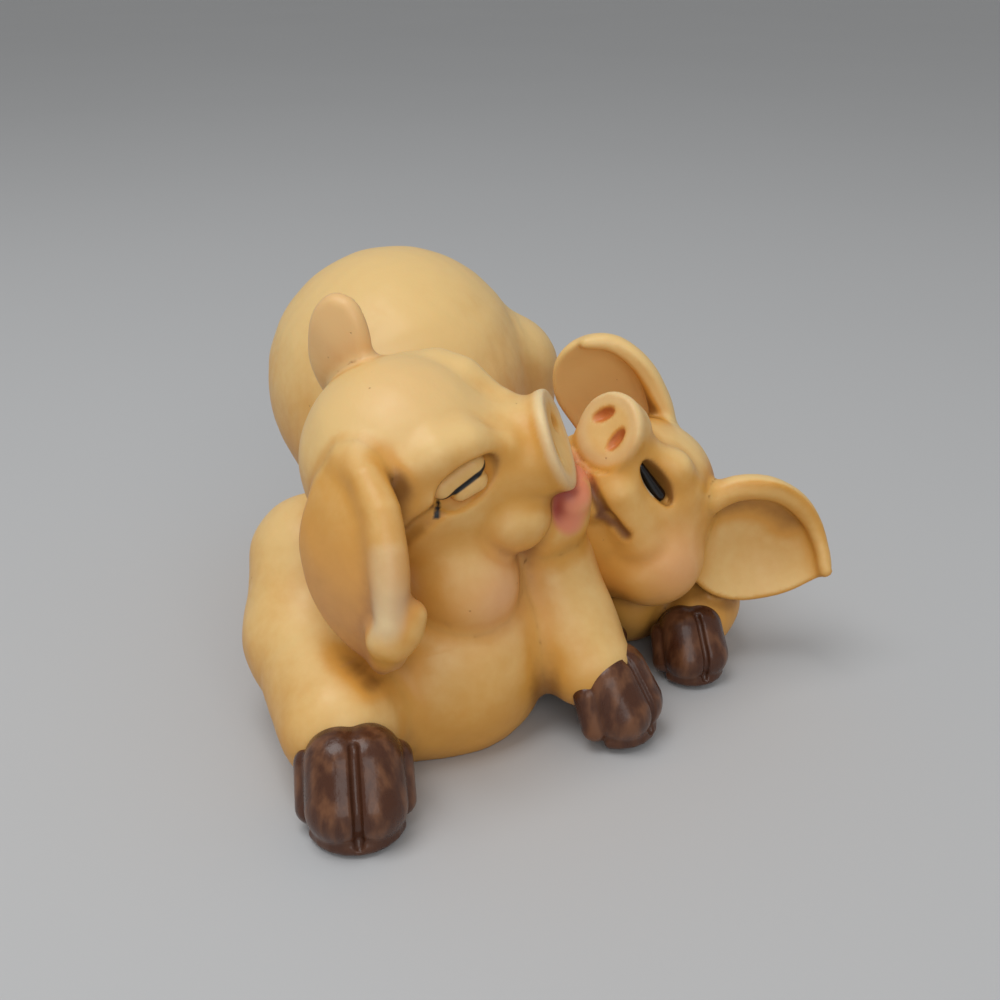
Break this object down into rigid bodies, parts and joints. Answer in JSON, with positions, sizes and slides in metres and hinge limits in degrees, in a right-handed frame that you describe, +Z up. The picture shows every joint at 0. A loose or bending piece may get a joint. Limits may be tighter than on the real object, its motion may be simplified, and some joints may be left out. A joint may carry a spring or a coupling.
{
  "type": "pig figurine",
  "caption": "Small cast resin ornament of two piglets kissing, one kneeling with its rump raised and one lying beside it, to stand on a shelf.",
  "frame": {"origin": "middle of the group's footprint box, on the surface that it stands on", "axes": "+X to the viewer's right, +Y away from the viewer, +Z up; the front pig's fore hooves point to -Y"},
  "size_m": [0.085, 0.1, 0.0602],
  "materials": {
    "resin_skin": "cream and honey painted resin with a golden-brown wash in the creases",
    "ear_blush": "cream painted resin with a pink tinge",
    "hoof_brown": "glossy chocolate brown paint, worn to copper on the edges",
    "eye_black": "glossy black paint"
  },
  "bodies": {
    "root": {"front_pig_body": "resin_skin", "front_pig_head": "resin_skin", "front_pig_left_ear": "ear_blush", "front_pig_left_eye": "resin_skin", "front_pig_left_fore_hoof": "hoof_brown", "front_pig_left_fore_leg": "resin_skin", "front_pig_left_hind_hoof": "hoof_brown", "front_pig_left_hind_leg": "resin_skin", "front_pig_right_ear": "ear_blush", "front_pig_right_eye": "resin_skin", "front_pig_right_fore_hoof": "hoof_brown", "front_pig_right_fore_leg": "resin_skin", "front_pig_right_hind_hoof": "hoof_brown", "front_pig_right_hind_leg": "resin_skin", "front_pig_tail": "resin_skin", "rear_pig_body": "resin_skin", "rear_pig_head": "resin_skin", "rear_pig_left_ear": "ear_blush", "rear_pig_left_eye": "eye_black", "rear_pig_left_fore_hoof": "hoof_brown", "rear_pig_left_fore_leg": "resin_skin", "rear_pig_left_hind_hoof": "hoof_brown", "rear_pig_left_hind_leg": "resin_skin", "rear_pig_right_ear": "ear_blush", "rear_pig_right_eye": "eye_black", "rear_pig_right_fore_hoof": "hoof_brown", "rear_pig_right_fore_leg": "resin_skin", "rear_pig_right_hind_hoof": "hoof_brown", "rear_pig_right_hind_leg": "resin_skin", "rear_pig_tail": "resin_skin"}
  },
  "joints": []
}
